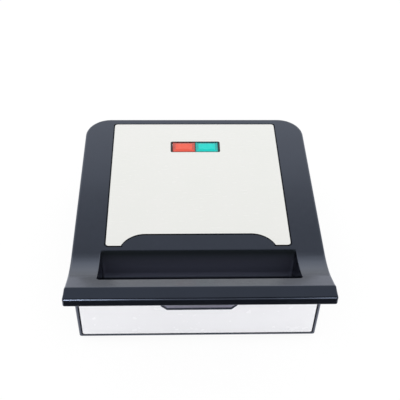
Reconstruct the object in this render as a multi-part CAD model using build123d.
from build123d import *
import os
from math import atan2, cos, degrees, hypot, radians, sin, tan

os.makedirs("parts", exist_ok=True)

# Cooking plates: two sandwich places side by side, which set the size of all the rest
cavity_width = 98.0
cavity_length = 122.0
cavity_depth = 11.0
cavity_radius = 10.0
cavity_draft = 10.0
cavity_web = 6.0
plate_side_rim = 9.0
plate_end_rim = 13.0
plate_from_rear = 34.0
plate_to_pocket = 14.5
plate_to_side = 10.6
plate_flange = 3.0
plate_corner_radius = 8.0
plate_wall = 2.5
ridge_width = 9.0
ridge_top = 1.6
ridge_drop = 0.5
plate_clearance = 0.5
plate_screw_offset = 70.0
plate_screw_from_tub = 6.0
plate_boss_radius = 3.2

# Lid lengths, each measured along the lid from its rear edge forwards
rear_margin = 9.4
panel_to_pocket = 5.6
pocket_length = 44.8
handle_run = 15.7
nose_run = 9.8

# Lid forms
lid_corner_radius = 26.5
lid_draft = 1.8
lid_rounding = 2.0
nose_flare = 2.2
flare_length = 16.0
wall = 2.5
rise_angle = 28.5
rise_radius = 77.3
rise_lead = 23.7
crest_rounding = 2.5
nose_rounding = 3.5
nose_drop = 5.5
lip_face = 9.7
lip_rounding = 1.8
lip_overhang = 37.9
pocket_to_side = 27.6
pocket_draft = 1.0
pocket_rear_fillet = 4.0
pocket_front_fillet = 6.0
pocket_corner_fillet = 3.0
pocket_rim_rounding = 1.2
least_radius = 0.5

# Heights from the table up
foot_height = 4.5
base_height = 54.0
lid_gap = 0.6
lid_height = 38.6

# Base
base_inset = 1.2
base_draft = 0.7
base_rear_margin = 3.0
base_corner_radius = 26.0
base_front_radius = 3.0
cover_clearance = 0.3

# Panels
panel_to_side = 31.6
panel_corner_radius = 3.0
panel_thickness = 1.4
panel_proud = 0.2
panel_gap = 1.4
arch_height = 15.1
arch_foot_to_side = 14.5
arch_shoulder = 23.2
front_border = 3.6
side_border = 4.4
front_panel_radius = 2.0
tab_width = 8.0
tab_length = 5.0
tab_inset = 12.0
tab_clearance = 0.2

# Signal lamps
lamp_from_rear = 47.6
lens_width = 24.2
lens_depth = 15.5
lens_gap = 0.8
lens_clearance = 0.2
lens_recess = 0.6
lens_height = 1.2
lens_bevel = 3.1
lens_flange = 1.2
bezel_end = 1.9
bezel_side = 0.6
bezel_radius = 1.6
bulb_radius = 2.4
bulb_length = 13.0
holder_drop = 6.6
holder_thickness = 1.7
holder_depth = 16.0
lamp_boss_offset = 31.0

# Hinge
hinge_from_rear = 7.0
hinge_lug_radius = 4.2
hinge_pin_radius = 1.75
running_clearance = 0.05
hinge_offset = 72.0
base_lug_width = 9.0
lid_lug_width = 5.0
side_clearance = 0.4
step_depth = 10.0
step_length = 12.0
hub_radius = 4.6
sleeve_radius = 2.4
sleeve_clearance = 0.4
sleeve_bend = 5.0
hub_turn = 20.0
hub_notch = 9.0
gusset_height = 8.0
sleeve_low = 20.0
lid_sleeve_rise = 21.0
sleeve_end_from_rear = 20.0
pin_head_radius = 3.0
pin_head = 1.2
retainer_radius = 3.4
retainer_thickness = 0.8

# Latch
latch_width = 40.0
latch_thickness = 3.0
latch_pin_radius = 1.5
latch_barrel_radius = 3.0
latch_from_nose = 20.6
latch_ear_width = 3.0
finger_tab_width = 73.0
finger_tab_front_width = 61.0
finger_tab_reach = 7.2
finger_tab_slant = 4.5
finger_tab_height = 2.6
finger_tab_above_base = 5.0
finger_tab_rounding = 2.2
pin_end = 1.0
catch_width = 42.0
catch_depth = 1.6
catch_drop = 0.4
catch_reach = 2.2
hook_engagement = 1.1
hook_height = 1.7
hook_clearance = 0.3
hook_taper = 0.8
latch_gap = 2.6
latch_pin_rise = 0.3

# Inner frames
frame_ledge = 2.5
frame_clearance = 0.3
frame_opening_gap = 1.0
frame_under_pocket = 4.0

# Heating
element_radius = 3.3
element_bend = 12.0
element_to_tub_side = 25.5
element_to_tub_end = 21.5
terminal_half_gap = 14.0
terminal_pin_radius = 1.5
terminal_pin_length = 8.0
shield_thickness = 0.8
shield_flange = 9.5
shield_side_gap = 0.8
shield_gap = 0.8
contact_gap = 0.2
clip_width = 12.0
clip_thickness = 1.2
clip_lip = 3.0
clip_offset = 46.0
thermostat_radius = 8.5
thermostat_flange_radius = 11.0
thermostat_flange = 1.5
thermostat_width = 20.0
thermostat_depth = 16.0
thermostat_height = 10.5
thermostat_tab_width = 6.3
thermostat_tab_thickness = 0.8
thermostat_tab_length = 8.0
thermostat_tab_offset = 5.0

# Fasteners and bosses
screw_radius = 1.5
screw_head_radius = 3.0
screw_head_height = 1.8
thread_clearance = 0.05
hole_clearance = 0.3
boss_radius = 4.2
rib = 2.0
rear_boss_to_side = 15.4
rear_boss_from_rear = 22.0
front_boss_to_side = 13.4
front_boss_to_front = 20.2
frame_screw_length = 14.0
foot_screw_length = 13.0
short_screw_length = 5.0
plate_screw_length = 4.6
recess_length = 3.6
recess_width = 0.8

# Bottom cover, feet and cord inlet
cover_thickness = 2.5
foot_radius = 9.0
foot_chamfer = 0.8
foot_well_radius = 4.5
foot_seat = 2.4
vent_rows = 3
vent_columns = 9
vent_pitch = 12.0
vent_row_pitch = 24.0
vent_width = 4.0
vent_length = 16.0
vent_from_rear = 112.0
inlet_z = 22.0
cord_radius = 3.4
bush_radius = 6.0
bush_flange_radius = 8.5
bush_flange = 1.5
bush_length = 12.0
bush_ridge = 0.8
clamp_from_rear = 27.0
clamp_depth = 9.0
clamp_boss_offset = 12.0
clamp_thickness = 6.0

# Wiring
sleeve_run = 22.0
block_x = 44.0
block_from_rear = 70.0
block_width = 40.0
block_depth = 20.0
block_height = 15.0
block_pitch = 12.0
block_screw_radius = 2.0
peg_radius = 1.9
peg_height = 5.0
wire_radius = 1.1
wire_bend = 4.0
wire_z = 13.0
lamp_wire_radius = 0.6
fuse_x = -40.0
fuse_from_rear = 82.0
fuse_radius = 2.0
fuse_length = 13.0
fuse_lead_length = 6.0
fuse_sleeve_radius = 2.8
fuse_sleeve_length = 21.0
fuse_clip_width = 8.0
earth_x = block_x - block_pitch
earth_screw_length = 3.0
earth_from_rear = 104.0

# Values that follow
plate_width = 2 * (cavity_width + plate_side_rim) + cavity_web
plate_depth = cavity_length + 2 * plate_end_rim
lid_width = plate_width + 2 * plate_to_side
base_width = lid_width - 2 * base_inset
panel_width = lid_width - 2 * panel_to_side
pocket_width = lid_width - 2 * pocket_to_side
pocket_back = plate_from_rear + plate_depth + plate_to_pocket
panel_front = pocket_back - panel_to_pocket
pocket_front = pocket_back + pocket_length
crest = pocket_front + handle_run
lid_depth = crest + nose_run
rise_corner = pocket_back + rise_lead
skirt_spread = lid_height * tan(radians(lid_draft))
overall_depth = lid_depth + skirt_spread
base_front = lid_depth - lip_overhang
base_top = foot_height + base_height
lid_bottom = base_top + lid_gap
deck_z = lid_bottom + lid_height
hinge_z = base_top + lid_gap / 2
rise_slope = tan(radians(rise_angle))
crest_z = deck_z + (crest - rise_corner) * rise_slope
nose_z = crest_z - nose_drop
lip_z = nose_z - lip_face
pocket_rim_z = deck_z + (pocket_front - rise_corner) * rise_slope
front_lean = (pocket_front + wall - base_front) / (pocket_rim_z - base_top)
plate_middle = plate_from_rear + plate_depth / 2
half_lid = lid_width / 2
latch_half = latch_width / 2
latch_pin_distance = lid_depth - latch_from_nose
latch_pin_z = lip_z + latch_pin_rise
lens_offset = (lens_width + lens_gap) / 2
holder_top = deck_z - wall - holder_drop
bulb_z = holder_top + bulb_radius + contact_gap
lid_sleeve_z = hinge_z + lid_sleeve_rise
print("overall depth", round(overall_depth, 2), "height", round(crest_z, 2), "deck", round(deck_z, 2))


def at(distance):
    """The y of a place that lies this far in front of the deck's rear edge."""
    return (lid_depth - skirt_spread) / 2 - distance


def side_point(distance, height):
    return (at(distance), height)


def block(x_span, distance_span, z_span):
    """A box between two x, two distances from the rear edge and two heights."""
    low = (x_span[0], at(distance_span[1]), z_span[0])
    size = (x_span[1] - x_span[0], distance_span[1] - distance_span[0], z_span[1] - z_span[0])
    return Pos(*low) * Box(*size, align=Align.MIN)


def post(radius, x, distance, z_span):
    """An upright cylinder."""
    centred = (Align.CENTER, Align.CENTER, Align.MIN)
    return Pos(x, at(distance), z_span[0]) * Cylinder(radius, z_span[1] - z_span[0], align=centred)


def cross_rod(radius, x_span, distance, z):
    """A cylinder that lies along the width."""
    centred = (Align.CENTER, Align.CENTER, Align.MIN)
    rod = Rot(Y=90) * Cylinder(radius, x_span[1] - x_span[0], align=centred)
    return Pos(x_span[0], at(distance), z) * rod


def depth_rod(radius, x, distance_span, z):
    """A cylinder that lies from front to rear."""
    centred = (Align.CENTER, Align.CENTER, Align.MIN)
    length = distance_span[1] - distance_span[0]
    return Pos(x, at(distance_span[0]), z) * Rot(X=90) * Cylinder(radius, length, align=centred)


def across(side_face, x_span):
    """A side outline drawn as (y, z), drawn out along the width."""
    return extrude(Plane.YZ.offset(x_span[0]) * side_face, x_span[1] - x_span[0], dir=(1, 0, 0))


def upward(plan_face, z_span):
    return extrude(Pos(0, 0, z_span[0]) * plan_face, z_span[1] - z_span[0], dir=(0, 0, 1))


def side_polygon(*points):
    return make_face(Polyline(*[side_point(*point) for point in points], close=True))


def rounded_plan(width, rear, front, radius):
    """A rounded rectangle between two distances from the rear edge."""
    return Pos(0, at((rear + front) / 2)) * RectangleRounded(width, front - rear, radius)


def group(part, places):
    """Copies of one piece, which stay separate solids."""
    return Compound([Pos(*place) * part for place in places])


def tube(radius, bend, *points):
    """A round wire or tube along straight runs joined by bends, through (x, distance, z) places."""
    places = [(x, at(distance), z) for x, distance, z in points]
    path = FilletPolyline(*places, radius=bend) if len(places) > 2 else Polyline(*places)
    start = Plane(origin=path @ 0, z_dir=path % 0)
    return sweep(start * Circle(radius), path)


def screw(length):
    """A pan-head screw with a cross recess, head up from zero height and shank down."""
    upright = (Align.CENTER, Align.CENTER, Align.MIN)
    head = Cylinder(screw_head_radius, screw_head_height, align=upright)
    head = fillet(head.edges().group_by(Axis.Z)[-1], screw_head_height / 2)
    slot = Box(recess_length, recess_width, screw_head_height)
    recess = Pos(0, 0, screw_head_height) * (slot + Rot(Z=90) * slot)
    shank = Pos(0, 0, -length) * Cylinder(screw_radius, length, align=upright)
    return head + shank - recess


def save(name, shape):
    shape.label = name
    export_step(shape, "parts/" + name + ".step")


# Lid cover

def front_wall_at(height):
    """How far forward the lid's leaning front wall stands at a height, on its outside."""
    return base_front + (height - base_top) * front_lean


def top_z(distance):
    """The height of the lid's top, which is flat, then curves up, then runs straight to the crest."""
    start = rise_corner - rise_radius * tan(radians(rise_angle / 2))
    end = start + rise_radius * sin(radians(rise_angle))
    if distance <= start:
        return deck_z
    if distance <= end:
        return deck_z + rise_radius - (rise_radius**2 - (distance - start) ** 2) ** 0.5
    return deck_z + (distance - rise_corner) * rise_slope


def inset_corners(points, inset):
    """The corners of a closed outline, drawn anticlockwise, once each side moves inwards."""
    moved = []
    for before, corner, after in zip(points[-1:] + points[:-1], points, points[1:] + points[:1]):
        arriving = hypot(corner[0] - before[0], corner[1] - before[1])
        leaving = hypot(after[0] - corner[0], after[1] - corner[1])
        first = ((before[1] - corner[1]) / arriving, (corner[0] - before[0]) / arriving)
        second = ((corner[1] - after[1]) / leaving, (after[0] - corner[0]) / leaving)
        reach = inset / (1 + first[0] * second[0] + first[1] * second[1])
        moved.append(tuple(corner[i] + reach * (first[i] + second[i]) for i in (0, 1)))
    return moved


def lid_outline():
    """The lid cut from front to rear. The rear runs past the edge, where the plan trims it."""
    past = -lid_corner_radius
    return [
        side_point(past, lid_bottom),
        side_point(past, deck_z),
        side_point(rise_corner, deck_z),
        side_point(crest, crest_z),
        side_point(lid_depth, nose_z),
        side_point(lid_depth, lip_z),
        side_point(front_wall_at(lip_z), lip_z),
        side_point(front_wall_at(lid_bottom), lid_bottom),
    ]


def filleted_face(points, radii):
    """A closed outline whose inner corners are rounded, all but the first and the last."""
    sides = FilletPolyline(*points, radius=radii)
    return make_face(sides.edges() + Line(points[-1], points[0]).edges())


def ceiling_over(behind):
    """Where the top's inner face meets a line this far behind the front wall's outside."""
    drop = wall / cos(radians(rise_angle))
    run = base_front - behind - base_top * front_lean - rise_corner
    height = (deck_z - drop + run * rise_slope) / (1 - front_lean * rise_slope)
    return side_point(front_wall_at(height) - behind, height)


def lid_plan(inset):
    """The lid seen from above, with round rear corners and a flare towards the nose."""
    half = half_lid - inset
    past = flare_length / 2
    flare_start = (half, at(lid_depth - flare_length))
    flare_end = (half + nose_flare * (1 + past / flare_length) ** 2, at(lid_depth + past))
    right = Line((0, at(lid_depth + past)), flare_end).edges()
    right += TangentArc(flare_start, flare_end, tangent=(0, -1)).edges()
    right += Polyline(flare_start, (half, at(inset)), (0, at(inset))).edges()
    face = make_face(right + [mirror(edge, about=Plane.YZ) for edge in right])
    corners = face.vertices().group_by(Axis.Y)[-1].filter_by(lambda v: abs(v.X) > half / 2)
    return fillet(corners, lid_corner_radius - inset)


def pocket_form(grow):
    """The finger pocket behind the lip. Grown by the wall it is the pocket's outer skin."""
    floor = lid_bottom + wall - grow
    above = crest_z + 2 * wall
    points = [
        side_point(pocket_back - grow, above),
        side_point(pocket_back - grow + pocket_draft, floor),
        side_point(front_wall_at(floor) - wall + grow, floor),
        side_point(pocket_front + grow, pocket_rim_z),
        side_point(pocket_front + grow, above),
    ]
    radii = [pocket_rear_fillet + grow, pocket_front_fillet + grow, pocket_corner_fillet]
    half = pocket_width / 2 + grow
    form = across(filleted_face(points, radii), (-half, half))
    ends = form.faces().sort_by(Axis.X)
    rounded = [edge for edge in ends[0].edges() + ends[-1].edges() if edge.center().Z < above - wall]
    return fillet(rounded, pocket_corner_fillet + grow / 2)


def lid_body():
    """The lid's whole outer form. Its sides spread downwards by the mould's draft."""
    points = lid_outline()
    top = FilletPolyline(*points[1:6], radius=[rise_radius, crest_rounding, nose_rounding])
    under = Polyline(*points[5:], *points[:2])
    profile = make_face(top.edges() + under.edges())
    skirt = Pos(0, 0, lid_bottom) * lid_plan(-skirt_spread)
    sides = extrude(skirt, crest_z - lid_bottom + wall, dir=(0, 0, 1), taper=lid_draft)
    body = across(profile, (-lid_width, lid_width)) & sides
    rims = []
    for edge in body.edges():
        box = edge.bounding_box()
        on_lip = abs(box.max.Z - lip_z) < wall / 2
        across_front = box.size.X > half_lid and box.min.Y < at(lid_corner_radius)
        if box.min.Z > deck_z - wall and not on_lip and not across_front:
            rims.append(edge)
    body = fillet(rims, lid_rounding)
    low_edges = body.edges().filter_by(Axis.X).filter_by_position(Axis.Z, lip_z - wall, lip_z + wall)
    return fillet(low_edges.sort_by(Axis.Y)[0], lip_rounding)


def lid_hollow():
    """The space under the lid's top and behind its leaning front wall, around the pocket."""
    inner = inset_corners(lid_outline(), wall)
    below = lid_bottom - wall
    main = [
        side_point(-lid_corner_radius, below),
        side_point(-lid_corner_radius, deck_z - wall),
        inner[2],
        ceiling_over(wall),
        side_point(front_wall_at(below) - wall, below),
    ]
    radii = [least_radius, rise_radius, least_radius]
    half = half_lid - wall
    hollow = across(filleted_face(main, radii), (-half, half)) & upward(lid_plan(wall), (0, 2 * deck_z))
    return hollow - pocket_form(wall)


def lip_hollow():
    """The space under the lip, in front of the leaning front wall."""
    inner = inset_corners(lid_outline(), wall)
    below = lip_z - wall
    points = [
        side_point(front_wall_at(below), below),
        ceiling_over(0),
        inner[3],
        inner[4],
        side_point(lid_depth - wall, below),
    ]
    half = half_lid - wall
    return across(filleted_face(points, [least_radius] * 3), (-half, half))


# Places that several pieces share

cover_top = foot_height + cover_thickness
frame_depth = plate_flange + frame_ledge
ring_rear = step_length + wall + frame_clearance
cavity_centre = (cavity_width + cavity_web) / 2
tub_half_width = cavity_width + cavity_web / 2 + plate_wall
tub_half_depth = cavity_length / 2 + plate_wall
element_half_width = tub_half_width - element_to_tub_side
element_half_depth = tub_half_depth - element_to_tub_end
tub_bottom = -cavity_depth - plate_wall
element_z = tub_bottom - element_radius - contact_gap
clip_top = element_z - element_radius - contact_gap
clip_boss_y = element_half_depth - element_radius - boss_radius - 2 * contact_gap
bracket_boss_y = thermostat_flange_radius + boss_radius + 2 * hole_clearance
shield_floor = clip_top - clip_thickness - screw_head_height - shield_gap
tray_half_width = tub_half_width + shield_side_gap
tray_half_depth = tub_half_depth + shield_side_gap
sheath_end_y = tray_half_depth + shield_thickness + 2 * shield_side_gap
plate_screw_y = tub_half_depth + plate_screw_from_tub
tray_bottom_z = base_top + shield_floor - shield_thickness
pilot_radius = screw_radius + thread_clearance
screw_hole_radius = screw_radius + hole_clearance
lug_centres = [-hinge_offset, hinge_offset]
rear_boss_x = base_width / 2 - rear_boss_to_side
front_boss_x = base_width / 2 - front_boss_to_side
corner_places = [(x * rear_boss_x, at(rear_boss_from_rear)) for x in (-1, 1)]
corner_places += [(x * front_boss_x, at(base_front - front_boss_to_front)) for x in (-1, 1)]
plate_screw_places = [(x * plate_screw_offset, y * plate_screw_y) for x in (-1, 1) for y in (-1, 1)]
clip_places = [(x * clip_offset, y * clip_boss_y) for x in (-1, 1) for y in (-1, 1)]
bracket_places = [(0, -bracket_boss_y), (0, bracket_boss_y)]


def lower(part):
    """Moves a piece from the plate's own space to the base."""
    return Pos(0, at(plate_middle), base_top) * part


def upper(part):
    """Turns a piece of the plate's own space over and moves it to the lid."""
    return Pos(0, at(plate_middle), lid_bottom) * mirror(part, about=Plane.XY)


def plate_box(x_span, y_span, z_span):
    low = (x_span[0], y_span[0], z_span[0])
    size = (x_span[1] - x_span[0], y_span[1] - y_span[0], z_span[1] - z_span[0])
    return Pos(*low) * Box(*size, align=Align.MIN)


def plate_rod(radius, x, y, z_span):
    upright = (Align.CENTER, Align.CENTER, Align.MIN)
    return Pos(x, y, z_span[0]) * Cylinder(radius, z_span[1] - z_span[0], align=upright)


# Trim panels

def arch_face(grow):
    """The round-shouldered piece of the deck that reaches into the panel's front edge."""
    top = at(panel_front - arch_height) - grow
    foot = at(panel_front) - panel_corner_radius
    foot_half = panel_width / 2 - arch_foot_to_side
    top_half = foot_half - arch_shoulder
    right = Line((0, top), (top_half, top)).edges()
    right += TangentArc((top_half, top), (foot_half - grow, at(panel_front) + grow), tangent=(1, 0)).edges()
    right += Line((foot_half - grow, at(panel_front) + grow), (foot_half - grow, foot)).edges()
    right += Line((foot_half - grow, foot), (0, foot)).edges()
    return make_face(right + [mirror(edge, about=Plane.YZ) for edge in right])


def panel_face(grow):
    plan = rounded_plan(panel_width + 2 * grow, rear_margin - grow, panel_front + grow, panel_corner_radius)
    return plan - arch_face(grow)


def lamp_opening(end, side, radius):
    """The opening that both lenses stand in, with more room at its ends and along its sides."""
    width = 2 * (lens_width + lens_clearance + end) + lens_gap
    depth = lens_depth + 2 * (lens_clearance + side)
    face = Pos(0, at(lamp_from_rear)) * RectangleRounded(width, depth, radius)
    return upward(face, (deck_z - 2 * wall, deck_z + wall))


def lid_panel_tabs(grow):
    """The tongues that hold the panel down through slots in the deck."""
    tabs = Part()
    top = deck_z + panel_proud - panel_thickness
    for x in (-panel_width / 2 + tab_inset, panel_width / 2 - tab_inset):
        for distance in (rear_margin + tab_inset, panel_front - 2 * tab_inset):
            tabs += block(
                (x - tab_width / 2 - grow, x + tab_width / 2 + grow),
                (distance - panel_thickness / 2 - grow, distance + panel_thickness / 2 + grow),
                (top - tab_length - grow, top),
            )
    return tabs


def lid_trim_panel():
    top = deck_z + panel_proud
    sheet = upward(panel_face(0), (top - panel_thickness, top))
    gap = lens_clearance
    opening = lamp_opening(bezel_end + gap, bezel_side + gap, bezel_radius + gap)
    return sheet - opening + lid_panel_tabs(0)


def front_panel_face(grow):
    """The base's front panel as an (x, z) outline."""
    height = base_height - 2 * front_border
    width = base_width - 2 * side_border
    middle = Pos(0, foot_height + base_height / 2)
    return middle * RectangleRounded(width + 2 * grow, height + 2 * grow, front_panel_radius)


def front_sheet(face, distance_span):
    """An (x, z) outline drawn through from front to rear."""
    plane = Plane(origin=(0, at(distance_span[1]), 0), x_dir=(1, 0, 0), z_dir=(0, -1, 0))
    return extrude(plane * face, distance_span[1] - distance_span[0], dir=(0, 1, 0))


def front_tabs(grow):
    tabs = Part()
    rear = base_front + panel_proud - panel_thickness
    half = base_width / 2 - side_border - tab_inset
    for x in (-half, half):
        for z in (foot_height + front_border + tab_inset, base_top - front_border - tab_inset):
            tabs += block(
                (x - tab_width / 2 - grow, x + tab_width / 2 + grow),
                (rear - tab_length - grow, rear),
                (z - panel_thickness / 2 - grow, z + panel_thickness / 2 + grow),
            )
    return tabs


def front_trim_panel():
    front = base_front + panel_proud
    return front_sheet(front_panel_face(0), (front - panel_thickness, front)) + front_tabs(0)


# Hinge, shared by the lid and the base

def lug_spans(centre):
    """The x spans of the base's lug and of the lid's two lugs beside it."""
    half = base_lug_width / 2
    near = half + side_clearance
    far = near + lid_lug_width
    return (centre - half, centre + half), [(centre - far, centre - near), (centre + near, centre + far)]


def hinge_bores():
    bores = Part()
    radius = hinge_pin_radius + running_clearance
    reach = base_lug_width / 2 + side_clearance + lid_lug_width + wall
    for centre in lug_centres:
        bores += cross_rod(radius, (centre - reach, centre + reach), hinge_from_rear, hinge_z)
    return bores


base_sleeve_route = [
    (-hub_turn, sleeve_run, sleeve_low),
    (-hub_turn, hinge_from_rear, sleeve_low),
    (-hub_turn, hinge_from_rear, hinge_z),
    (-side_clearance / 2, hinge_from_rear, hinge_z),
]
lid_sleeve_route = [
    (side_clearance / 2, hinge_from_rear, hinge_z),
    (hub_turn, hinge_from_rear, hinge_z),
    (hub_turn, hinge_from_rear, lid_sleeve_z),
    (hub_turn, sleeve_end_from_rear, lid_sleeve_z),
]
hub_far = hub_turn + hub_radius + hole_clearance


def sleeve_tunnel(route):
    """The way that the leads' sleeve takes through a hinge hub."""
    return tube(sleeve_radius + sleeve_clearance, sleeve_bend, *route)


# Lid cover with what is moulded on it

def lid_additions():
    parts = Part()
    ceiling = deck_z - wall / 2
    for centre in lug_centres:
        for span in lug_spans(centre)[1]:
            parts += cross_rod(hinge_lug_radius, span, hinge_from_rear, hinge_z)
            arm = (hinge_from_rear - hinge_lug_radius, hinge_from_rear + hinge_lug_radius)
            parts += block(span, arm, (hinge_z, ceiling))
            parts += block(span, (wall / 2, hinge_from_rear), (lid_bottom + gusset_height, ceiling))
    hub_span = (side_clearance / 2, hub_far)
    hub_depth = (hinge_from_rear - hub_radius, hinge_from_rear + hub_radius)
    parts += cross_rod(hub_radius, hub_span, hinge_from_rear, hinge_z)
    parts += block(hub_span, hub_depth, (hinge_z, ceiling))
    for x, y in corner_places:
        parts += Pos(x, y) * plate_rod(boss_radius, 0, 0, (lid_bottom + frame_depth, ceiling))
    for x in (-lamp_boss_offset, lamp_boss_offset):
        parts += post(screw_head_radius, x, lamp_from_rear, (holder_top, ceiling))
    ear_low = latch_pin_z - latch_barrel_radius - wall
    ear_high = latch_pin_z + latch_barrel_radius
    ear_front = latch_pin_distance + latch_barrel_radius + wall / 2
    ear = side_polygon(
        (front_wall_at(ear_low) - wall / 2, ear_low),
        (ear_front, ear_low),
        (ear_front, ear_high),
        (front_wall_at(ear_high) - wall / 2, ear_high),
    )
    for x in (latch_half + side_clearance, -latch_half - side_clearance - latch_ear_width):
        parts += across(ear, (x, x + latch_ear_width))
    return parts


def latch_bore(reach):
    radius = latch_pin_radius + running_clearance
    return cross_rod(radius, (-reach, reach), latch_pin_distance, latch_pin_z)


def lid_removals():
    parts = hinge_bores()
    sheet_low = deck_z + panel_proud - panel_thickness
    parts += upward(panel_face(panel_gap), (sheet_low, deck_z + wall))
    parts += lid_panel_tabs(tab_clearance) + lamp_opening(0, 0, least_radius)
    parts += sleeve_tunnel([(-wall, *lid_sleeve_route[0][1:])] + lid_sleeve_route[1:])
    for x, y in corner_places:
        bore_low = lid_bottom + frame_depth - contact_gap
        parts += Pos(x, y) * plate_rod(pilot_radius, 0, 0, (bore_low, bore_low + frame_screw_length))
    for x in (-lamp_boss_offset, lamp_boss_offset):
        parts += post(pilot_radius, x, lamp_from_rear, (holder_top - wall, holder_top + short_screw_length))
    return parts + latch_bore(latch_half + side_clearance + latch_ear_width + wall)


def lid_cover():
    notch = hub_far + 2 * side_clearance
    cover = lid_body() - lid_hollow() - lip_hollow() - pocket_form(0)
    cover -= block((-notch, notch), (-wall, 2 * wall), (lid_bottom - wall, lid_bottom + hub_notch))
    cover = cover + lid_additions() - lid_removals()
    rims = []
    for edge in cover.edges():
        middle = edge.center()
        distance = at(0) - middle.Y
        over_pocket = pocket_back - wall / 2 < distance < pocket_front + wall / 2
        on_top = over_pocket and abs(middle.Z - top_z(distance)) < wall / 5
        if on_top and abs(middle.X) < pocket_width / 2 + wall / 5:
            rims.append(edge)
    return fillet(rims, pocket_rim_rounding)


# Signal lamps

def lamp_bezel():
    """The frame round both lenses, which stands on the deck in the panel's opening."""
    top = deck_z + panel_proud
    ring = lamp_opening(bezel_end, bezel_side, bezel_radius) - lamp_opening(0, 0, least_radius)
    return ring & block((-lid_width, lid_width), (0, lid_depth), (top - panel_thickness, top))


def lamp_lens(x):
    """A jewel lens: a block with a bevelled top and a flange that sits under the deck."""
    place = Pos(x, at(lamp_from_rear))
    face = place * Rectangle(lens_width, lens_depth)
    low = deck_z - wall
    seat = deck_z + panel_proud - lens_recess
    lens = upward(face, (low - lens_flange, seat))
    bevel = degrees(atan2(lens_bevel, lens_height))
    lens += extrude(Pos(0, 0, seat) * face, lens_height, dir=(0, 0, 1), taper=bevel)
    flange = place * Rectangle(lens_width, lens_depth + 4 * lens_flange)
    return lens + upward(flange, (low - lens_flange, low))


def lamp_holder():
    """The carrier under the deck with a cradle for each end of each bulb."""
    low = holder_top - holder_thickness
    half = lamp_boss_offset + screw_head_radius + wall / 2
    depth = (lamp_from_rear - holder_depth / 2, lamp_from_rear + holder_depth / 2)
    holder = block((-half, half), depth, (low, holder_top))
    for x in (-lens_offset, lens_offset):
        for end in (-bulb_length / 2 + wall, bulb_length / 2 - wall):
            holder += block(
                (x + end - wall / 2, x + end + wall / 2),
                (lamp_from_rear - 2 * bulb_radius, lamp_from_rear + 2 * bulb_radius),
                (holder_top, bulb_z),
            )
        cradle = (x - bulb_length, x + bulb_length)
        holder -= cross_rod(bulb_radius + running_clearance, cradle, lamp_from_rear, bulb_z)
    for x in (-lamp_boss_offset, lamp_boss_offset):
        holder -= post(screw_hole_radius, x, lamp_from_rear, (low, holder_top))
    return holder


def neon_bulb():
    bulb = cross_rod(bulb_radius, (-bulb_length / 2, bulb_length / 2), lamp_from_rear, bulb_z)
    return fillet(bulb.edges().filter_by(GeomType.CIRCLE), bulb_radius / 2)


# Latch

def finger_tab(rear):
    """The shelf that a finger pulls, narrower at its front, drawn from above."""
    front = rear + latch_thickness / 2 + finger_tab_reach
    back_half = finger_tab_width / 2
    front_half = finger_tab_front_width / 2
    plan = make_face(Polyline(
        (-back_half, at(rear)),
        (-back_half, at(front - finger_tab_slant)),
        (-front_half, at(front)),
        (front_half, at(front)),
        (back_half, at(front - finger_tab_slant)),
        (back_half, at(rear)),
        close=True,
    ))
    low = base_top + finger_tab_above_base
    tab = upward(plan, (low, low + finger_tab_height))
    rims = tab.edges().group_by(Axis.Z)[-1]
    rims = rims.filter_by(lambda edge: edge.center().Y < at(rear + latch_thickness / 2))
    return fillet(rims, finger_tab_rounding)


def latch_lever():
    """The lever that hangs under the lip, with its finger tab and its hook."""
    inner = base_front + latch_gap
    outer = inner + latch_thickness
    elbow = base_top + finger_tab_above_base
    hook_top = base_top - catch_drop - catch_depth - hook_clearance
    hook_low = hook_top - hook_height
    arm = side_polygon(
        (latch_pin_distance - latch_barrel_radius / 2, latch_pin_z),
        (inner, elbow),
        (inner, hook_top),
        (base_front + catch_reach - hook_engagement, hook_top),
        (inner - hook_taper, hook_low),
        (outer, hook_low),
        (outer, elbow),
        (latch_pin_distance + latch_barrel_radius / 2 + hole_clearance, latch_pin_z),
    )
    lever = across(arm, (-latch_half, latch_half))
    lever += cross_rod(latch_barrel_radius, (-latch_half, latch_half), latch_pin_distance, latch_pin_z)
    return lever + finger_tab(inner + latch_thickness / 2) - latch_bore(latch_half)


def latch_pin():
    reach = latch_half + side_clearance + latch_ear_width
    pin = cross_rod(latch_pin_radius, (-reach - pin_end, reach + pin_end), latch_pin_distance, latch_pin_z)
    return chamfer(pin.edges().filter_by(GeomType.CIRCLE), pin_end / 2)


# Base housing

def base_plan(inset):
    rear = base_rear_margin + inset
    front = base_front - inset
    width = base_width - 2 * inset
    face = Pos(0, at((rear + front) / 2)) * Rectangle(width, front - rear)
    face = fillet(face.vertices().group_by(Axis.Y)[-1], base_corner_radius - inset)
    front_corners = face.vertices().filter_by(lambda v: v.Y < at(front - wall))
    return fillet(front_corners, max(base_front_radius - inset, least_radius))


def base_sides():
    """All that lies between the base's sides, which draw in towards the table by the mould's draft."""
    half = base_width / 2
    foot = half - base_height * tan(radians(base_draft))
    face = make_face(Polyline(
        (-foot, foot_height),
        (foot, foot_height),
        (half, base_top),
        (half, deck_z),
        (-half, deck_z),
        (-half, base_top),
        close=True,
    ))
    return front_sheet(face, (0, lid_depth))


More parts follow.
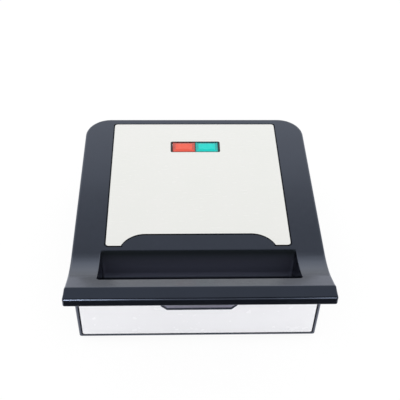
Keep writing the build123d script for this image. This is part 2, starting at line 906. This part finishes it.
def base_housing():
    outer = upward(base_plan(0), (foot_height, base_top))
    step_z = base_top - step_depth
    housing = outer - upward(base_plan(wall), (0, 2 * base_top))
    housing -= block((-base_width, base_width), (-wall, step_length), (step_z, 2 * base_top))
    step = block((-base_width, base_width), (0, step_length + wall), (step_z - wall, step_z))
    step += block((-base_width, base_width), (step_length, step_length + wall), (step_z - wall, base_top))
    housing += step & outer
    for centre in lug_centres:
        span = lug_spans(centre)[0]
        housing += cross_rod(hinge_lug_radius, span, hinge_from_rear, hinge_z)
        web = side_polygon(
            (hinge_from_rear, hinge_z + hinge_lug_radius),
            (step_length + wall / 2, base_top),
            (step_length + wall / 2, hinge_z - hinge_lug_radius),
            (hinge_from_rear, hinge_z - hinge_lug_radius),
        )
        housing += across(web, span)
    hub_span = (-hub_far, -side_clearance / 2)
    housing += cross_rod(hub_radius, hub_span, hinge_from_rear, hinge_z)
    housing += block(hub_span, (base_rear_margin, step_length + wall / 2), (step_z - wall / 2, base_top))
    for x, y in corner_places:
        tall = (cover_top, base_top - frame_depth)
        to_wall = x / abs(x) * (base_width - wall) / 2
        housing += Pos(x, y) * plate_rod(boss_radius, 0, 0, tall)
        housing += plate_box(sorted((x, to_wall)), (y - rib / 2, y + rib / 2), tall)
    catch_high = base_top - catch_drop
    catch_low = catch_high - catch_depth
    catch_span = (-catch_width / 2, catch_width / 2)
    housing += block(catch_span, (base_front - wall, base_front + catch_reach), (catch_low, catch_high))
    recess_rear = base_front + panel_proud - panel_thickness
    housing -= front_sheet(front_panel_face(panel_gap), (recess_rear, base_front + catch_reach + wall))
    housing -= front_tabs(tab_clearance)
    housing -= hinge_bores()
    housing -= sleeve_tunnel(base_sleeve_route[:-1] + [(wall, hinge_from_rear, hinge_z)])
    for x, y in corner_places:
        housing -= Pos(x, y) * plate_rod(pilot_radius, 0, 0, (cover_top, cover_top + foot_screw_length))
        top = base_top - frame_depth
        housing -= Pos(x, y) * plate_rod(pilot_radius, 0, 0, (top - frame_screw_length, top))
    housing -= depth_rod(bush_radius + hole_clearance, 0, (0, 2 * wall + base_rear_margin), inlet_z)
    return housing & base_sides()


def bottom_cover():
    cover = upward(base_plan(wall + cover_clearance), (foot_height, cover_top))
    for row in range(vent_rows):
        for column in range(vent_columns):
            x = (column - (vent_columns - 1) / 2) * vent_pitch
            distance = vent_from_rear + row * vent_row_pitch
            cover -= block(
                (x - vent_width / 2, x + vent_width / 2),
                (distance - vent_length / 2, distance + vent_length / 2),
                (foot_height, cover_top),
            )
    for x in (-clamp_boss_offset, clamp_boss_offset):
        cover += post(boss_radius, x, clamp_from_rear, (cover_top - wall / 2, inlet_z))
        cover -= post(pilot_radius, x, clamp_from_rear, (inlet_z - short_screw_length - wall, inlet_z))
    saddle_half = clamp_boss_offset - boss_radius + wall / 5
    saddle = block(
        (-saddle_half, saddle_half),
        (clamp_from_rear - clamp_depth / 2, clamp_from_rear + clamp_depth / 2),
        (cover_top - wall / 2, inlet_z - wall / 2),
    )
    cover += saddle - depth_rod(cord_radius, 0, (0, 3 * clamp_from_rear), inlet_z)
    peg = (cover_top - wall / 2, cover_top + peg_height)
    for x in (-block_pitch / 2, block_pitch / 2):
        cover += post(peg_radius, block_x + x, block_from_rear, peg)
    for x, y in corner_places:
        cover -= Pos(x, y) * plate_rod(screw_hole_radius, 0, 0, (foot_height, cover_top))
    return cover


def rubber_foot():
    foot = plate_rod(foot_radius, 0, 0, (0, foot_height))
    foot = chamfer(foot.edges().group_by(Axis.Z)[0], foot_chamfer)
    foot -= plate_rod(foot_well_radius, 0, 0, (0, foot_seat))
    return foot - plate_rod(screw_hole_radius, 0, 0, (0, foot_height))


# Plates and what heats them, in the plate's own space

def cooking_plate():
    """A cast plate with two sandwich places, each cut in two by a ridge from corner to corner."""
    rim = RectangleRounded(plate_width, plate_depth, plate_corner_radius)
    tub = RectangleRounded(2 * tub_half_width, 2 * tub_half_depth, cavity_radius + plate_wall)
    plate = upward(rim, (-plate_flange, 0)) + upward(tub, (tub_bottom, 0))
    slope = degrees(atan2(cavity_length, cavity_width))
    for side in (-1, 1):
        centre = Pos(side * cavity_centre, 0)
        mouth = centre * RectangleRounded(cavity_width, cavity_length, cavity_radius)
        cavity = extrude(mouth, cavity_depth, dir=(0, 0, -1), taper=cavity_draft)
        half = ridge_width / 2
        ridge_face = make_face(Polyline(
            (-half, -cavity_depth),
            (half, -cavity_depth),
            (ridge_top / 2, -ridge_drop),
            (-ridge_top / 2, -ridge_drop),
            close=True,
        ))
        length = hypot(cavity_width, cavity_length)
        ridge = extrude(Plane.YZ.offset(-length / 2) * ridge_face, length, dir=(1, 0, 0))
        ridge = centre * Rot(Z=side * slope) * ridge
        plate -= cavity - ridge
    for x, y in plate_screw_places:
        boss_end = contact_gap / 2 - frame_depth
        plate += plate_rod(plate_boss_radius, x, y, (boss_end, -plate_flange / 2))
        plate -= plate_rod(pilot_radius, x, y, (boss_end, -plate_flange / 2))
    for x, y in clip_places + bracket_places:
        plate += plate_rod(boss_radius, x, y, (clip_top, tub_bottom + plate_wall / 2))
        plate -= plate_rod(pilot_radius, x, y, (clip_top, tub_bottom))
    return plate


def frame_cuts():
    """What an inner frame leaves open: the plate's seat, its tub, its bosses and the frame's screws."""
    gap = 2 * plate_clearance
    seat = RectangleRounded(plate_width + gap, plate_depth + gap, plate_corner_radius)
    opening_width = 2 * (tub_half_width + frame_opening_gap)
    opening_depth = 2 * (tub_half_depth + frame_opening_gap)
    opening = RectangleRounded(opening_width, opening_depth, cavity_radius + plate_wall)
    cuts = upward(seat, (-plate_flange, plate_flange)) + upward(opening, (-2 * frame_depth, 0))
    for x, y in plate_screw_places:
        cuts += plate_rod(plate_boss_radius + hole_clearance, x, y, (-2 * frame_depth, 0))
    well = (-screw_head_height - contact_gap, plate_flange)
    for x, y in corner_places:
        cuts += plate_rod(screw_head_radius + hole_clearance, x, y - at(plate_middle), well)
        cuts += plate_rod(screw_hole_radius, x, y - at(plate_middle), (-2 * frame_depth, 0))
    return cuts


def base_inner_frame():
    plan = base_plan(wall + frame_clearance)
    ring = upward(plan, (base_top - frame_depth, base_top))
    ring &= block((-base_width, base_width), (ring_rear, lid_depth), (0, 2 * base_top))
    return ring - lower(frame_cuts())


def lid_inner_frame():
    plan = lid_plan(wall + frame_clearance)
    front = front_wall_at(lid_bottom) - wall - frame_clearance
    ring = upward(plan, (lid_bottom, lid_bottom + frame_depth))
    ring &= block((-base_width, base_width), (ring_rear, front), (0, 2 * base_top))
    half = pocket_width / 2 + wall + frame_clearance
    ring -= block((-half, half), (pocket_back + frame_under_pocket, lid_depth), (0, 2 * base_top))
    return ring - upper(frame_cuts()) - pocket_form(wall + frame_clearance)


def heating_element():
    """A sheathed tube bent round under both sandwich places, with a pin at each end."""
    near = sheath_end_y
    points = [
        (-terminal_half_gap, near),
        (-terminal_half_gap, element_half_depth),
        (-element_half_width, element_half_depth),
        (-element_half_width, -element_half_depth),
        (element_half_width, -element_half_depth),
        (element_half_width, element_half_depth),
        (terminal_half_gap, element_half_depth),
        (terminal_half_gap, near),
    ]
    path = FilletPolyline(*[(x, y, element_z) for x, y in points], radius=element_bend)
    element = sweep(Plane(origin=path @ 0, z_dir=path % 0) * Circle(element_radius), path)
    pin = Rot(X=-90) * Cylinder(terminal_pin_radius, 2 * terminal_pin_length)
    for x in (-terminal_half_gap, terminal_half_gap):
        element += Pos(x, near, element_z) * pin
    return element


def element_clip(side):
    """A flat spring bar from a boss across the tube, with a lip that hooks round it."""
    far = element_half_depth + element_radius + contact_gap
    half = clip_width / 2
    low = clip_top - clip_thickness
    near = clip_boss_y - boss_radius
    bar = plate_box((-half, half), (near, far + clip_thickness), (low, clip_top))
    bar += plate_box((-half, half), (far, far + clip_thickness), (low, clip_top + clip_lip))
    bar -= plate_rod(screw_hole_radius, 0, clip_boss_y, (low, clip_top))
    return bar if side > 0 else mirror(bar, about=Plane.XZ)


def element_clips():
    return Compound([Pos(x, 0, 0) * element_clip(y) for x, y in clip_places])


def raised_screw(length):
    """A screw turned over, so that its shank points up."""
    return Rot(X=180) * screw(length)


def clip_screws(places):
    low = clip_top - clip_thickness
    return group(raised_screw(short_screw_length), [(x, y, low) for x, y in places])


def plate_screws():
    low = -frame_depth - shield_thickness
    return group(raised_screw(plate_screw_length), [(x, y, low) for x, y in plate_screw_places])


def heat_shield(with_thermostat):
    """A pressed tray round the back of the plate, hung by its flange from the plate's screws."""
    radius = cavity_radius
    flange_top = -frame_depth
    tray_low = shield_floor - shield_thickness
    width = 2 * tray_half_width
    depth = 2 * tray_half_depth
    skin = 2 * shield_thickness
    outside = RectangleRounded(width + skin, depth + skin, radius + shield_thickness)
    rim = 2 * shield_flange
    flange = RectangleRounded(width + rim, depth + rim, radius)
    tray = upward(outside, (tray_low, flange_top))
    tray += upward(flange, (flange_top - shield_thickness, flange_top))
    tray -= upward(RectangleRounded(width, depth, radius), (shield_floor, 0))
    for x, y in plate_screw_places:
        tray -= plate_rod(screw_hole_radius, x, y, (2 * flange_top, 0))
    for x in (-terminal_half_gap, terminal_half_gap):
        passage = Cylinder(element_radius + plate_clearance, 2 * boss_radius)
        tray -= Pos(x, tray_half_depth, element_z) * Rot(X=90) * passage
    if with_thermostat:
        gap = 4 * plate_clearance
        hole = Rectangle(thermostat_width + gap, thermostat_depth + gap)
        tray -= upward(hole, (tray_low, shield_floor))
        tray -= plate_rod(pilot_radius, earth_x, plate_middle - earth_from_rear, (tray_low, shield_floor))
    return tray


def thermostat():
    """A bimetal thermostat whose cap touches the back of the plate, with two blade terminals."""
    flange_top = clip_top + thermostat_flange
    low = clip_top - thermostat_height
    body = plate_rod(thermostat_radius, 0, 0, (flange_top, tub_bottom - contact_gap))
    body += plate_rod(thermostat_flange_radius, 0, 0, (clip_top, flange_top))
    half_width = thermostat_width / 2
    half_depth = thermostat_depth / 2
    body += plate_box((-half_width, half_width), (-half_depth, half_depth), (low, clip_top))
    half_tab = thermostat_tab_width / 2
    for x in (-thermostat_tab_offset, thermostat_tab_offset):
        blade = (x - thermostat_tab_thickness / 2, x + thermostat_tab_thickness / 2)
        body += plate_box(blade, (-half_tab, half_tab), (low - thermostat_tab_length, low))
    return body


def thermostat_bracket():
    half_width = thermostat_flange_radius + clip_thickness
    half_depth = bracket_boss_y + boss_radius
    low = clip_top - clip_thickness
    bracket = plate_box((-half_width, half_width), (-half_depth, half_depth), (low, clip_top))
    gap = hole_clearance
    bracket -= plate_box(
        (-thermostat_width / 2 - gap, thermostat_width / 2 + gap),
        (-thermostat_depth / 2 - gap, thermostat_depth / 2 + gap),
        (low, clip_top),
    )
    for x, y in bracket_places:
        bracket -= plate_rod(screw_hole_radius, x, y, (low, clip_top))
    return bracket


# Cord inlet and wiring

def cord_inlet_bush():
    """The bush in the rear wall that the mains cord comes out of."""
    outside = base_rear_margin - bush_flange
    bush = depth_rod(bush_flange_radius, 0, (outside, base_rear_margin), inlet_z)
    bush += depth_rod(bush_radius, 0, (outside, outside + bush_length), inlet_z)
    ridge = base_rear_margin + wall + tab_clearance
    bush += depth_rod(bush_radius + bush_ridge, 0, (ridge, ridge + bush_flange), inlet_z)
    return bush - depth_rod(cord_radius + hole_clearance, 0, (outside, outside + bush_length), inlet_z)


def cord_clamp():
    half = clamp_boss_offset + boss_radius
    depth = (clamp_from_rear - clamp_depth / 2, clamp_from_rear + clamp_depth / 2)
    clamp = block((-half, half), depth, (inlet_z, inlet_z + clamp_thickness))
    clamp -= depth_rod(cord_radius, 0, (0, 3 * clamp_from_rear), inlet_z)
    for x in (-clamp_boss_offset, clamp_boss_offset):
        clamp -= post(screw_hole_radius, x, clamp_from_rear, (inlet_z, inlet_z + clamp_thickness))
        clamp -= post(
            screw_head_radius + hole_clearance,
            x,
            clamp_from_rear,
            (inlet_z + clamp_thickness / 2, inlet_z + clamp_thickness),
        )
    return clamp


def terminal_block():
    half = block_width / 2
    top = cover_top + block_height
    body = block(
        (block_x - half, block_x + half),
        (block_from_rear - block_depth / 2, block_from_rear + block_depth / 2),
        (cover_top, top),
    )
    for step in (-1, 0, 1):
        x = block_x + step * block_pitch
        body -= post(block_screw_radius + hole_clearance, x, block_from_rear, (top - block_height / 3, top))
    socket = (cover_top, cover_top + peg_height + tab_clearance)
    for x in (-block_pitch / 2, block_pitch / 2):
        body -= post(peg_radius + tab_clearance, block_x + x, block_from_rear, socket)
    return body


def terminal_screws():
    upright = (Align.CENTER, Align.CENTER, Align.MIN)
    length = block_height / 3 - wall / 2
    body = Cylinder(block_screw_radius, length, align=upright)
    slot = Pos(0, 0, length) * Box(2 * block_screw_radius, recess_width, 2 * recess_width)
    low = cover_top + 2 * block_height / 3
    places = [(block_x + step * block_pitch, at(block_from_rear), low) for step in (-1, 0, 1)]
    return group(body - slot, places)


fuse_z = tray_bottom_z - clip_thickness - fuse_sleeve_radius - contact_gap
fuse_rear = fuse_from_rear - fuse_length / 2 - fuse_lead_length
fuse_front = fuse_from_rear + fuse_length / 2 + fuse_lead_length


def thermal_fuse():
    half = fuse_length / 2
    fuse = depth_rod(fuse_radius, fuse_x, (fuse_from_rear - half, fuse_from_rear + half), fuse_z)
    return fuse + depth_rod(lamp_wire_radius, fuse_x, (fuse_rear, fuse_front), fuse_z)


def fuse_sleeve():
    half = fuse_sleeve_length / 2
    span = (fuse_from_rear - half, fuse_from_rear + half)
    sleeve = depth_rod(fuse_sleeve_radius, fuse_x, span, fuse_z)
    return sleeve - depth_rod(fuse_radius + running_clearance, fuse_x, span, fuse_z)


def fuse_clip():
    """A band round the fuse's sleeve with a tongue that is welded to the shield."""
    half = fuse_clip_width / 2
    span = (fuse_from_rear - half, fuse_from_rear + half)
    ring = fuse_sleeve_radius + contact_gap / 2
    clip = depth_rod(ring + clip_thickness, fuse_x, span, fuse_z)
    clip += block((fuse_x, fuse_x + 4 * ring), span, (tray_bottom_z - clip_thickness, tray_bottom_z))
    clip &= block((fuse_x - base_width, fuse_x + base_width), (0, lid_depth), (0, tray_bottom_z))
    return clip - depth_rod(ring, fuse_x, span, fuse_z)


def earth_tag():
    low = tray_bottom_z - clip_thickness
    tag = post(screw_head_radius + recess_width, earth_x, earth_from_rear, (low, tray_bottom_z))
    tag += block(
        (earth_x - wire_radius - recess_width, earth_x + wire_radius + recess_width),
        (earth_from_rear - 3 * screw_head_radius, earth_from_rear),
        (low, tray_bottom_z),
    )
    return tag - post(screw_hole_radius, earth_x, earth_from_rear, (low, tray_bottom_z))


def base_leads():
    """The wires in the base, each from one terminal to the next."""
    tab = thermostat_tab_offset
    tab_low = base_top + clip_top - thermostat_height - thermostat_tab_length
    block_front = block_from_rear + block_depth / 2
    block_rear = block_from_rear - block_depth / 2
    pin_end_from_rear = plate_middle - sheath_end_y - terminal_pin_length
    pin_z = base_top + element_z
    before_pin = pin_end_from_rear - 3 * wire_bend
    tag_z = tray_bottom_z - clip_thickness - wire_radius
    rise = block_front + 2 * wire_bend
    right = block_x + block_pitch
    apart = wire_radius + contact_gap / 2
    turn = sleeve_run + 5 * wire_bend
    drop = block_rear - 2 * wire_bend
    routes = [
        [
            (block_x, block_front, wire_z),
            (block_x, plate_middle, wire_z),
            (tab, plate_middle, wire_z),
            (tab, plate_middle, tab_low),
        ],
        [
            (-tab, plate_middle, tab_low),
            (-tab, plate_middle, wire_z),
            (fuse_x, plate_middle, wire_z),
            (fuse_x, plate_middle, fuse_z),
            (fuse_x, fuse_front, fuse_z),
        ],
        [
            (fuse_x, fuse_rear, fuse_z),
            (fuse_x, before_pin, fuse_z),
            (fuse_x, before_pin, pin_z),
            (-terminal_half_gap, before_pin, pin_z),
            (-terminal_half_gap, pin_end_from_rear, pin_z),
        ],
        [
            (right + 2 * apart, block_rear, wire_z),
            (right + 2 * apart, before_pin, wire_z),
            (right + 2 * apart, before_pin, pin_z),
            (terminal_half_gap, before_pin, pin_z),
            (terminal_half_gap, pin_end_from_rear, pin_z),
        ],
        [
            (earth_x, block_front, wire_z),
            (earth_x, rise, wire_z),
            (earth_x, rise, tag_z),
            (earth_x, earth_from_rear - screw_head_radius - wire_bend, tag_z),
        ],
        [
            (-hub_turn, sleeve_run, sleeve_low - apart),
            (-hub_turn, turn, sleeve_low - apart),
            (block_x, turn, sleeve_low - apart),
            (block_x, drop, wire_z),
            (block_x, block_rear, wire_z),
        ],
        [
            (-hub_turn, sleeve_run, sleeve_low + apart),
            (-hub_turn, turn + wire_bend, sleeve_low + apart),
            (right - 2 * apart, turn + wire_bend, sleeve_low + apart),
            (right - 2 * apart, drop, wire_z),
            (right - 2 * apart, block_rear, wire_z),
        ],
    ]
    return Compound([tube(wire_radius, wire_bend, *route) for route in routes])


def lid_leads():
    """The wires in the lid: two to the heating element's pins and one to each lamp."""
    pin_end_from_rear = plate_middle - sheath_end_y - terminal_pin_length
    pin_z = lid_bottom - element_z
    start = sleeve_end_from_rear
    turn = start + wire_bend
    slant_end = pin_end_from_rear - wire_bend
    apart = wire_radius + contact_gap / 2
    right = terminal_half_gap
    routes = [
        [
            (hub_turn, start, lid_sleeve_z - apart),
            (hub_turn, turn, lid_sleeve_z - apart),
            (right, slant_end, pin_z),
            (right, pin_end_from_rear, pin_z),
        ],
        [
            (hub_turn, start, lid_sleeve_z + apart),
            (hub_turn, turn, lid_sleeve_z + apart),
            (-right, turn, lid_sleeve_z + apart),
            (-right, slant_end, pin_z),
            (-right, pin_end_from_rear, pin_z),
        ],
    ]
    wires = [tube(wire_radius, wire_bend / 2, *route) for route in routes]
    bulb_end = lens_offset + bulb_length / 2
    behind = lamp_from_rear - holder_depth / 2 - wall
    for side in (-1, 1):
        wires.append(tube(
            lamp_wire_radius,
            wire_bend / 2,
            (side * bulb_end, lamp_from_rear, bulb_z),
            (side * (bulb_end + wire_bend), lamp_from_rear, bulb_z),
            (side * (bulb_end + wire_bend), behind, bulb_z),
            (side * right, behind, bulb_z),
            (side * right, behind, pin_z + terminal_pin_radius + thread_clearance),
        ))
    return Compound(wires)


# Hinge pins

pin_seat = base_lug_width / 2 + 2 * side_clearance + lid_lug_width


def hinge_pin(side):
    """A headed pin through one hinge, with its head on the outer side."""
    low = -pin_seat - retainer_thickness - pin_end
    pin = cross_rod(hinge_pin_radius, (low, pin_seat), hinge_from_rear, hinge_z)
    pin += cross_rod(pin_head_radius, (pin_seat, pin_seat + pin_head), hinge_from_rear, hinge_z)
    return pin if side > 0 else mirror(pin, about=Plane.YZ)


def pin_retainer(side):
    """The ring pressed on a hinge pin's inner end."""
    span = (-pin_seat - retainer_thickness, -pin_seat)
    ring = cross_rod(retainer_radius, span, hinge_from_rear, hinge_z)
    ring -= cross_rod(hinge_pin_radius + running_clearance, span, hinge_from_rear, hinge_z)
    return ring if side > 0 else mirror(ring, about=Plane.YZ)


# Each piece under the name of its file

earth_screw_place = Pos(earth_x, at(earth_from_rear), tray_bottom_z - clip_thickness)
frame_screws = group(
    screw(frame_screw_length),
    [(x, y - at(plate_middle), -screw_head_height - contact_gap) for x, y in corner_places],
)
pieces = {
    "lid_cover": lid_cover(),
    "lid_trim_panel": lid_trim_panel(),
    "lamp_bezel": lamp_bezel(),
    "red_lamp_lens": lamp_lens(-lens_offset),
    "green_lamp_lens": lamp_lens(lens_offset),
    "lamp_holder": lamp_holder(),
    "lamp_holder_screws": group(
        raised_screw(short_screw_length),
        [(x * lamp_boss_offset, at(lamp_from_rear), holder_top - holder_thickness) for x in (-1, 1)],
    ),
    "neon_lamps": group(neon_bulb(), [(-lens_offset, 0, 0), (lens_offset, 0, 0)]),
    "lid_inner_frame": lid_inner_frame(),
    "lid_frame_screws": upper(frame_screws),
    "upper_plate": upper(cooking_plate()),
    "upper_plate_screws": upper(plate_screws()),
    "upper_heating_element": upper(heating_element()),
    "upper_element_clips": upper(element_clips()),
    "upper_clip_screws": upper(clip_screws(clip_places)),
    "upper_heat_shield": upper(heat_shield(False)),
    "lid_leads": lid_leads(),
    "lid_lead_sleeve": tube(sleeve_radius, sleeve_bend, *lid_sleeve_route),
    "latch_pin": latch_pin(),
    "latch_lever": latch_lever(),
    "base_housing": base_housing(),
    "front_trim_panel": front_trim_panel(),
    "base_inner_frame": base_inner_frame(),
    "base_frame_screws": lower(frame_screws),
    "lower_plate": lower(cooking_plate()),
    "lower_plate_screws": lower(plate_screws()),
    "lower_heating_element": lower(heating_element()),
    "lower_element_clips": lower(element_clips()),
    "lower_clip_screws": lower(clip_screws(clip_places)),
    "lower_heat_shield": lower(heat_shield(True)),
    "thermostat": lower(thermostat()),
    "thermostat_bracket": lower(thermostat_bracket()),
    "thermostat_screws": lower(clip_screws(bracket_places)),
    "thermal_fuse": thermal_fuse(),
    "fuse_sleeve": fuse_sleeve(),
    "fuse_clip": fuse_clip(),
    "terminal_block": terminal_block(),
    "terminal_screws": terminal_screws(),
    "earth_tag": earth_tag(),
    "earth_screw": earth_screw_place * raised_screw(earth_screw_length),
    "base_leads": base_leads(),
    "base_lead_sleeve": tube(sleeve_radius, sleeve_bend, *base_sleeve_route),
    "cord_inlet_bush": cord_inlet_bush(),
    "cord_clamp": cord_clamp(),
    "cord_clamp_screws": group(
        screw(short_screw_length),
        [(x * clamp_boss_offset, at(clamp_from_rear), inlet_z + clamp_thickness / 2) for x in (-1, 1)],
    ),
    "bottom_cover": bottom_cover(),
    "rubber_feet": group(rubber_foot(), [(x, y, 0) for x, y in corner_places]),
    "foot_screws": group(raised_screw(foot_screw_length), [(x, y, foot_seat) for x, y in corner_places]),
    "hinge_pins": Compound([Pos(side * hinge_offset, 0, 0) * hinge_pin(side) for side in (-1, 1)]),
    "pin_retainers": Compound([Pos(side * hinge_offset, 0, 0) * pin_retainer(side) for side in (-1, 1)]),
}
for name, shape in pieces.items():
    save(name, shape)
print("pieces", len(pieces))
